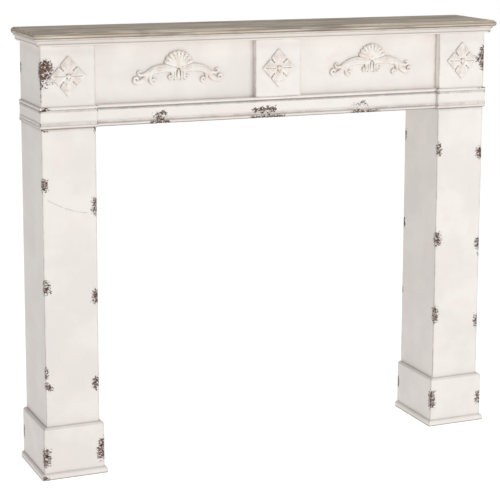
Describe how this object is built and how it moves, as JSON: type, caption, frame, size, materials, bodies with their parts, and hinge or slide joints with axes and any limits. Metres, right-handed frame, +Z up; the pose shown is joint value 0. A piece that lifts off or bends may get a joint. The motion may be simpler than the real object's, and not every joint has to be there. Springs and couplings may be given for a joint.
{
  "type": "fireplace mantelpiece",
  "caption": "Free-standing painted wood fireplace mantelpiece with a moulded shelf, a frieze with shell and rosette ornaments, and square legs on plinths.",
  "frame": {"origin": "on the floor, under the middle of the bounding box", "axes": "+X along the shelf to the right as seen from the front, +Y to the wall behind, +Z up"},
  "size_m": [1.142, 0.188, 1],
  "materials": {
    "washed_wood": "grey-brown washed, worn",
    "painted_wood": "cream paint, chipped at the edges down to dark brown wood",
    "painted_casting": "cream paint with a thin grey-brown glaze in the hollows"
  },
  "bodies": {
    "root": {"mantel_shelf": "washed_wood", "crown_moulding_left": "painted_wood", "crown_moulding_front": "painted_wood", "crown_moulding_right": "painted_wood", "frieze_board": "painted_wood", "centre_block": "painted_wood", "band_side_left": "painted_wood", "band_front_left": "painted_wood", "band_return_left": "painted_wood", "band_panel": "painted_wood", "band_return_right": "painted_wood", "band_front_right": "painted_wood", "band_side_right": "painted_wood", "corner_block_outer_left": "painted_wood", "corner_block_front_left": "painted_wood", "corner_block_inner_left": "painted_wood", "leg_outer_left": "painted_wood", "leg_front_left": "painted_wood", "leg_inner_left": "painted_wood", "plinth_outer_left": "painted_wood", "plinth_front_left": "painted_wood", "plinth_inner_left": "painted_wood", "base_moulding_outer_left": "painted_wood", "base_moulding_front_left": "painted_wood", "base_moulding_inner_left": "painted_wood", "corner_block_outer_right": "painted_wood", "corner_block_front_right": "painted_wood", "corner_block_inner_right": "painted_wood", "leg_outer_right": "painted_wood", "leg_front_right": "painted_wood", "leg_inner_right": "painted_wood", "plinth_outer_right": "painted_wood", "plinth_front_right": "painted_wood", "plinth_inner_right": "painted_wood", "base_moulding_outer_right": "painted_wood", "base_moulding_front_right": "painted_wood", "base_moulding_inner_right": "painted_wood", "rosette_left": "painted_casting", "rosette_centre": "painted_casting", "rosette_right": "painted_casting", "shell_ornament_left": "painted_casting", "shell_ornament_right": "painted_casting"}
  },
  "joints": []
}
